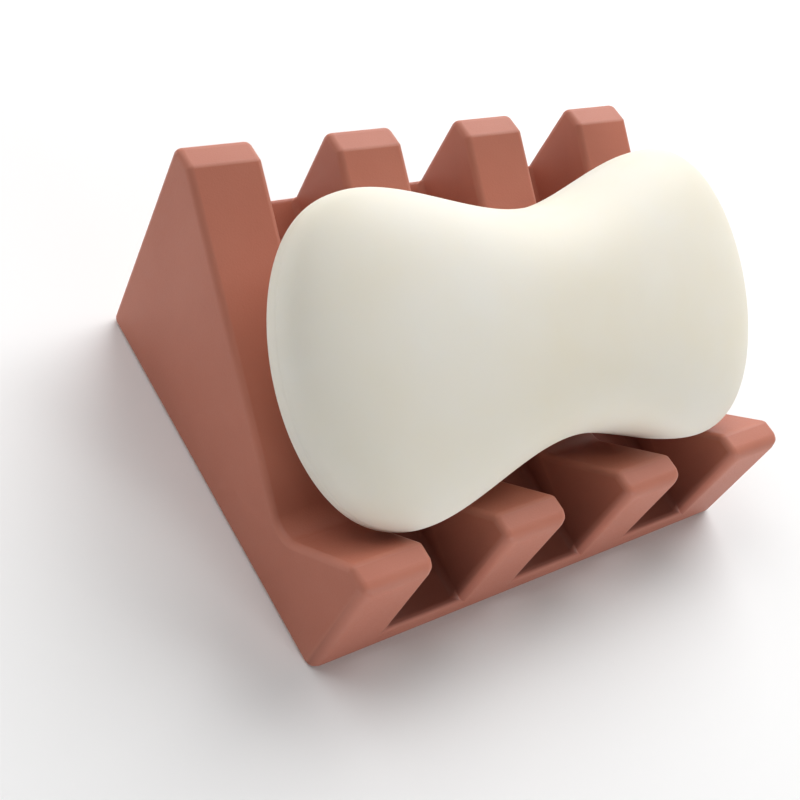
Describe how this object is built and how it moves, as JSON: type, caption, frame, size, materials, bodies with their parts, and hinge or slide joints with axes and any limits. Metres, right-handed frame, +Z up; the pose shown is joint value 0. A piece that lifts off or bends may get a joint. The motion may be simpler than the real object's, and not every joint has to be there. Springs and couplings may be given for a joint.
{
  "type": "soap dish",
  "caption": "Silicone soap dish with ribs shaped like a lopsided V, open drain channels between them and a low front lip, holding a waisted bar of soap.",
  "frame": {"origin": "centre of the flat underside of the dish", "axes": "+X along the row of ribs, +Y from the low draining front to the tall back, +Z up"},
  "size_m": [0.112, 0.0812, 0.0611],
  "materials": {
    "silicone": "matte dusty terracotta silicone",
    "soap": "satin ivory toilet soap"
  },
  "bodies": {
    "dish": {"soap_dish": "silicone"},
    "soap": {"soap_bar": "soap"}
  },
  "joints": [
    {"name": "soap_lift", "type": "slide", "parent": "dish", "child": "soap", "axis": [0, 0, 1], "range_m": [0, 0.06]}
  ]
}
